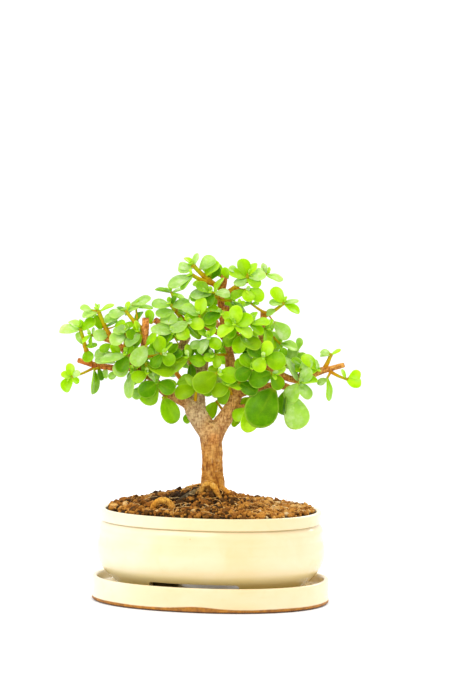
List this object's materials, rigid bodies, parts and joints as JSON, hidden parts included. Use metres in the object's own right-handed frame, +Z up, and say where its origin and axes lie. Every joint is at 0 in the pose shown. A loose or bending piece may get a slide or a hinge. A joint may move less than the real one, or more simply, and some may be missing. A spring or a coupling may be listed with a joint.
{
  "type": "dwarf jade bonsai in a pot",
  "caption": "Small dwarf jade bonsai with a forked trunk and fleshy leaves, planted in an oval glazed pot that stands in a matching drip tray.",
  "frame": {"origin": "centre of the drip tray's flat underside, on the surface it stands on", "axes": "+Z up, +X along the long axis of the tray and pot, -Y towards the tree's front"},
  "size_m": [0.222, 0.1382, 0.2621],
  "materials": {
    "tray_glaze": "cream gloss glaze over an unglazed clay edge",
    "pot_glaze": "cream gloss glaze",
    "mesh_plastic": "matt moulded mesh",
    "soil": "rough baked clay granules",
    "bark": "rough bark",
    "leaf": "smooth waxy skin"
  },
  "bodies": {
    "root": {"drip_tray": "tray_glaze", "pot": "pot_glaze", "drain_mesh_left": "mesh_plastic", "drain_mesh_right": "mesh_plastic", "soil": "soil", "trunk_limbs_and_roots": "bark", "leafy_shoot_01": "leaf", "leafy_shoot_02": "leaf", "leafy_shoot_03": "leaf", "leafy_shoot_04": "leaf", "leafy_shoot_05": "leaf", "leafy_shoot_06": "leaf", "leafy_shoot_07": "leaf", "leafy_shoot_08": "leaf", "leafy_shoot_09": "leaf", "leafy_shoot_10": "leaf", "leafy_shoot_11": "leaf", "leafy_shoot_12": "leaf", "leafy_shoot_13": "leaf", "leafy_shoot_14": "leaf", "leafy_shoot_15": "leaf", "leafy_shoot_16": "leaf", "leafy_shoot_17": "leaf", "leafy_shoot_18": "leaf", "leafy_shoot_19": "leaf", "leafy_shoot_20": "leaf", "leafy_shoot_21": "leaf", "leafy_shoot_22": "leaf", "leafy_shoot_23": "leaf", "leafy_shoot_24": "leaf", "leafy_shoot_25": "leaf", "leafy_shoot_26": "leaf", "leafy_shoot_27": "leaf", "leafy_shoot_28": "leaf", "leafy_shoot_29": "leaf", "leafy_shoot_30": "leaf", "leafy_shoot_31": "leaf", "leafy_shoot_32": "leaf", "leafy_shoot_33": "leaf", "leafy_shoot_34": "leaf", "leafy_shoot_35": "leaf", "leafy_shoot_36": "leaf", "leafy_shoot_37": "leaf", "leafy_shoot_38": "leaf", "leafy_shoot_39": "leaf", "leafy_shoot_40": "leaf", "leafy_shoot_41": "leaf", "leafy_shoot_42": "leaf", "leafy_shoot_43": "leaf", "leafy_shoot_44": "leaf", "leafy_shoot_45": "leaf", "leafy_shoot_46": "leaf", "leafy_shoot_47": "leaf", "leafy_shoot_48": "leaf", "leafy_shoot_49": "leaf", "leafy_shoot_50": "leaf", "leafy_shoot_51": "leaf", "leafy_shoot_52": "leaf", "leafy_shoot_53": "leaf"}
  },
  "joints": []
}
